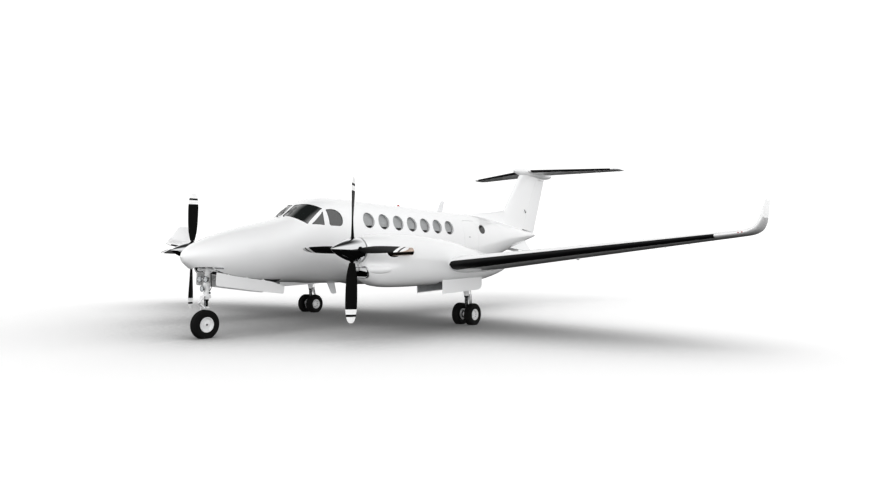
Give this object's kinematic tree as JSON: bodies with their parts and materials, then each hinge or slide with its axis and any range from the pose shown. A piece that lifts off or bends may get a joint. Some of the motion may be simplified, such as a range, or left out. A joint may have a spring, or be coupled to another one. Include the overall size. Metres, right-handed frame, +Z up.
{
  "type": "twin turboprop business aeroplane",
  "caption": "Low-wing twin turboprop business aeroplane on its gear, with winglets, a T-tail, an airstair door and a furnished cabin.",
  "frame": {"origin": "on the ground, under the middle of the aeroplane's length and span", "axes": "nose towards -Y, port side towards +X, +Z up, standing on its tyres 1.84 degrees nose up"},
  "size_m": [17.6612, 14.22, 4.38],
  "materials": {
    "skin": "aluminium skin in gloss white paint",
    "glazing": "stretched acrylic, tinted",
    "interior": "dark carpet and matt trim",
    "seat": "grey leather",
    "engine": "heat-stained steel",
    "blade": "satin black paint with white tip bands",
    "spinner": "polished",
    "gear": "white enamel",
    "oleo": "hard chrome",
    "tyre": "black rubber"
  },
  "bodies": {
    "airframe": {"nose_section": "skin", "cockpit_shell": "skin", "cabin_shell": "skin", "aft_shell": "skin", "tail_cone": "skin", "cockpit_glass": "glazing", "cabin_windows_left": "glazing", "cabin_windows_right": "glazing", "aft_window_left": "glazing", "aft_window_right": "glazing", "cabin_floor": "interior", "cabin_seats": "seat", "crew_seats": "seat", "instrument_panel": "interior", "wing_centre": "skin", "outer_wing_left": "skin", "outer_wing_right": "skin", "nacelle_left": "skin", "nacelle_right": "skin", "engine_left": "engine", "engine_right": "engine", "fin": "skin", "tailplane": "skin", "top_antenna": "skin", "belly_antenna": "skin", "nose_leg": "gear", "nose_door_left": "skin", "nose_door_right": "skin", "main_leg_left": "gear", "main_leg_right": "gear"},
    "left_propeller": {"propeller_left": "blade", "spinner_left": "spinner"},
    "right_propeller": {"propeller_right": "blade", "spinner_right": "spinner"},
    "nose_steering": {"nose_fork": "oleo"},
    "nose_wheel_set": {"nose_wheel": "gear", "nose_tyre": "tyre"},
    "left_main_wheels": {"main_wheels_left": "gear", "main_tyre_left_inboard": "tyre", "main_tyre_left_outboard": "tyre"},
    "right_main_wheels": {"main_wheels_right": "gear", "main_tyre_right_inboard": "tyre", "main_tyre_right_outboard": "tyre"},
    "airstair": {"airstair_door": "skin"},
    "rudder_surface": {"rudder": "skin"},
    "left_elevator": {"elevator_left": "skin"},
    "right_elevator": {"elevator_right": "skin"},
    "left_aileron": {"aileron_left": "skin"},
    "right_aileron": {"aileron_right": "skin"},
    "left_inner_flap": {"inner_flap_left": "skin"},
    "right_inner_flap": {"inner_flap_right": "skin"},
    "left_outer_flap": {"outer_flap_left": "skin"},
    "right_outer_flap": {"outer_flap_right": "skin"}
  },
  "joints": [
    {"name": "left_propeller_spin", "type": "hinge", "parent": "airframe", "child": "left_propeller", "pos_m": [2.615, -5.29, 1.671], "axis": [0, 0.9995, -0.0321], "continuous": true},
    {"name": "right_propeller_spin", "type": "hinge", "parent": "airframe", "child": "right_propeller", "pos_m": [-2.615, -5.29, 1.671], "axis": [0, 0.9995, -0.0321], "continuous": true},
    {"name": "nose_steer", "type": "hinge", "parent": "airframe", "child": "nose_steering", "pos_m": [0, -6.624, 0.262], "axis": [0, 0.0627, 0.998], "range_deg": [-48, 48]},
    {"name": "nose_wheel_roll", "type": "hinge", "parent": "nose_steering", "child": "nose_wheel_set", "pos_m": [0, -6.624, 0.262], "axis": [1, 0, 0], "continuous": true},
    {"name": "left_main_roll", "type": "hinge", "parent": "airframe", "child": "left_main_wheels", "pos_m": [2.615, -1.727, 0.23], "axis": [1, 0, 0], "continuous": true},
    {"name": "right_main_roll", "type": "hinge", "parent": "airframe", "child": "right_main_wheels", "pos_m": [-2.615, -1.727, 0.23], "axis": [1, 0, 0], "continuous": true},
    {"name": "airstair_hinge", "type": "hinge", "parent": "airframe", "child": "airstair", "pos_m": [0.62759, 1.18, 1.19], "axis": [0, 1, 0], "range_deg": [0, 135]},
    {"name": "rudder_hinge", "type": "hinge", "parent": "airframe", "child": "rudder_surface", "pos_m": [0, 5.003, 2.36316], "axis": [0, 0.4953, 0.8687], "range_deg": [-25, 25]},
    {"name": "left_elevator_hinge", "type": "hinge", "parent": "airframe", "child": "left_elevator", "pos_m": [1.425, 6.36682, 4.25263], "axis": [0.9678, 0.2518, -0.0057], "range_deg": [-14, 20]},
    {"name": "right_elevator_hinge", "type": "hinge", "parent": "airframe", "child": "right_elevator", "pos_m": [-1.425, 6.36682, 4.25263], "axis": [0.9678, -0.2518, 0.0057], "range_deg": [-14, 20]},
    {"name": "left_aileron_hinge", "type": "hinge", "parent": "airframe", "child": "left_aileron", "pos_m": [6.655, -1.69676, 1.6915], "axis": [0.9882, -0.1078, 0.1089], "range_deg": [-20, 20]},
    {"name": "right_aileron_hinge", "type": "hinge", "parent": "airframe", "child": "right_aileron", "pos_m": [-6.655, -1.69676, 1.6915], "axis": [0.9882, 0.1078, -0.1089], "range_deg": [-20, 20]},
    {"name": "left_inner_flap_hinge", "type": "hinge", "parent": "airframe", "child": "left_inner_flap", "pos_m": [1.5, -1.3592, 1.13497], "axis": [-0.9946, 0.0066, -0.1037], "range_deg": [0, 35]},
    {"name": "right_inner_flap_hinge", "type": "hinge", "parent": "airframe", "child": "right_inner_flap", "pos_m": [-1.5, -1.3592, 1.13497], "axis": [-0.9946, -0.0066, 0.1037], "range_deg": [0, 35]},
    {"name": "left_outer_flap_hinge", "type": "hinge", "parent": "airframe", "child": "left_outer_flap", "pos_m": [4.28, -1.45667, 1.43162], "axis": [-0.9885, 0.1054, -0.1086], "range_deg": [0, 35]},
    {"name": "right_outer_flap_hinge", "type": "hinge", "parent": "airframe", "child": "right_outer_flap", "pos_m": [-4.28, -1.45667, 1.43162], "axis": [-0.9885, -0.1054, 0.1086], "range_deg": [0, 35]}
  ],
  "couplings": [
    {"joint": "right_elevator_hinge", "follows": "left_elevator_hinge", "ratio": 1},
    {"joint": "right_aileron_hinge", "follows": "left_aileron_hinge", "ratio": -1},
    {"joint": "right_inner_flap_hinge", "follows": "left_inner_flap_hinge", "ratio": 1},
    {"joint": "left_outer_flap_hinge", "follows": "left_inner_flap_hinge", "ratio": 1},
    {"joint": "right_outer_flap_hinge", "follows": "left_inner_flap_hinge", "ratio": 1}
  ]
}
